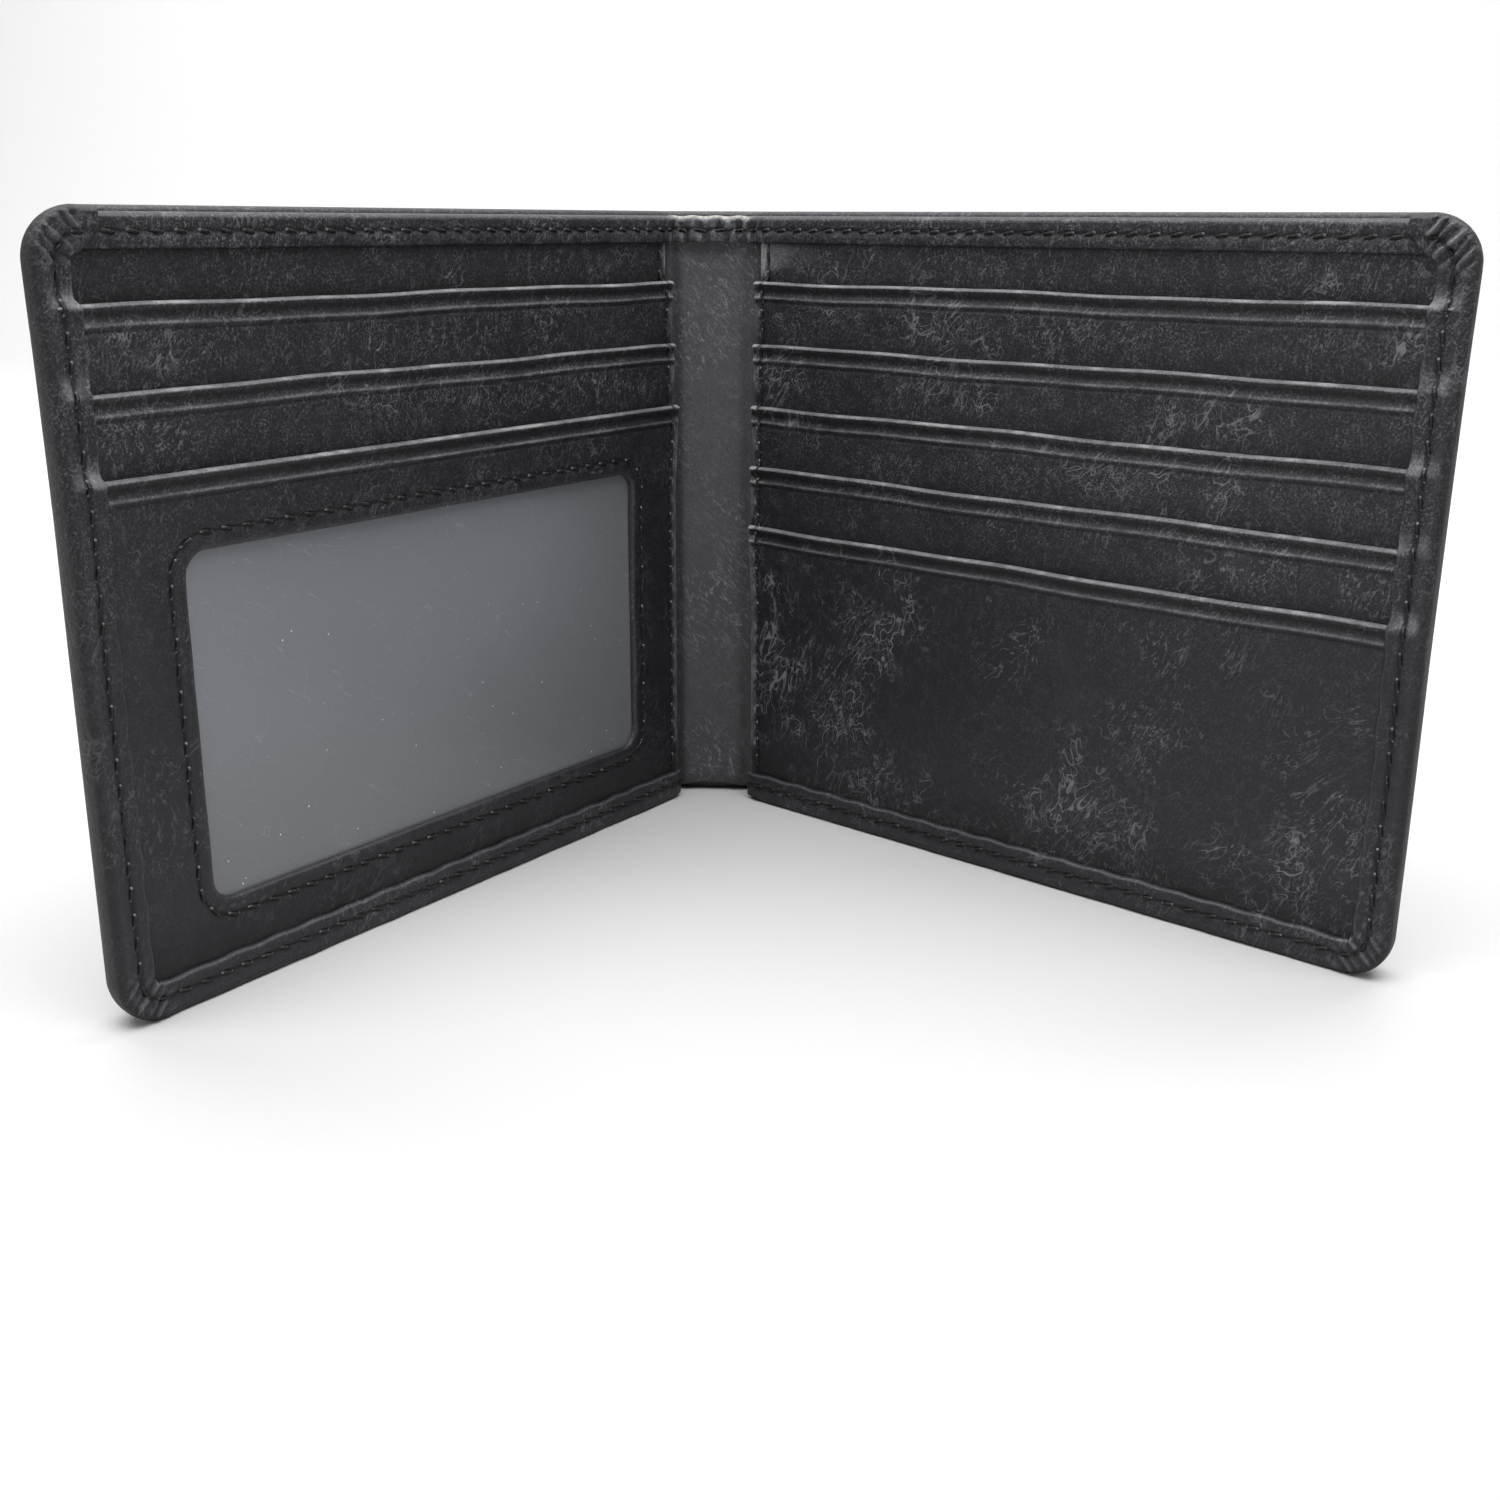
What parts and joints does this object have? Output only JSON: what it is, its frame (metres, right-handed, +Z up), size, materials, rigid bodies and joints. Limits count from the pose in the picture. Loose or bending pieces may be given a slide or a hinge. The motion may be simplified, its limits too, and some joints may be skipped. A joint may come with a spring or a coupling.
{
  "type": "bifold wallet",
  "caption": "Black leather bifold wallet standing open, with stepped card pockets, a clear identity window, a bill compartment and two folding wings.",
  "frame": {"origin": "middle of the floor area that the open wallet covers, at its bottom edge", "axes": "+Z up along the fold lines, -Y towards the open side, +X from the window wing towards the card wing"},
  "size_m": [0.1644, 0.1006, 0.095],
  "materials": {
    "cover_leather": "waxed semi-gloss, finely creased",
    "inner_leather": "waxed semi-gloss, finely creased",
    "spine_leather": "grained, worn lighter",
    "lining_fabric": "plain woven",
    "stiffener": "bonded fibre board",
    "window_film": "frosted, dusty",
    "thread": "waxed twist"
  },
  "bodies": {
    "spine": {"spine_cover": "cover_leather", "spine_cover_lining": "lining_fabric", "spine_bill_lining": "lining_fabric", "spine_strip": "spine_leather", "spine_top_band": "inner_leather", "spine_band_thread": "thread"},
    "left_wing": {"left_cover": "cover_leather", "left_cover_board": "stiffener", "left_cover_lining": "lining_fabric", "left_bill_lining": "lining_fabric", "left_card_panel": "inner_leather", "left_top_band": "inner_leather", "left_pocket_1": "inner_leather", "left_pocket_1_lining": "lining_fabric", "left_pocket_2": "inner_leather", "left_pocket_2_lining": "lining_fabric", "left_id_pocket": "inner_leather", "left_id_window": "window_film", "left_window_thread": "thread", "left_hem_thread": "thread", "left_band_thread": "thread", "left_edge_thread": "thread"},
    "right_wing": {"right_cover": "cover_leather", "right_cover_board": "stiffener", "right_cover_lining": "lining_fabric", "right_bill_lining": "lining_fabric", "right_card_panel": "inner_leather", "right_top_band": "inner_leather", "right_pocket_1": "inner_leather", "right_pocket_1_lining": "lining_fabric", "right_pocket_2": "inner_leather", "right_pocket_2_lining": "lining_fabric", "right_pocket_3": "inner_leather", "right_pocket_3_lining": "lining_fabric", "right_pocket_4": "inner_leather", "right_pocket_4_lining": "lining_fabric", "right_pocket_5": "inner_leather", "right_hem_thread": "thread", "right_band_thread": "thread", "right_edge_thread": "thread"}
  },
  "joints": [
    {"name": "left_fold", "type": "hinge", "parent": "spine", "child": "left_wing", "pos_m": [-0.02066, 0.04838, 0.0475], "axis": [0, 0, 1], "range_deg": [-58, 32.6]},
    {"name": "right_fold", "type": "hinge", "parent": "spine", "child": "right_wing", "pos_m": [-0.00686, 0.04838, 0.0475], "axis": [0, 0, -1], "range_deg": [-39, 51.6]}
  ]
}
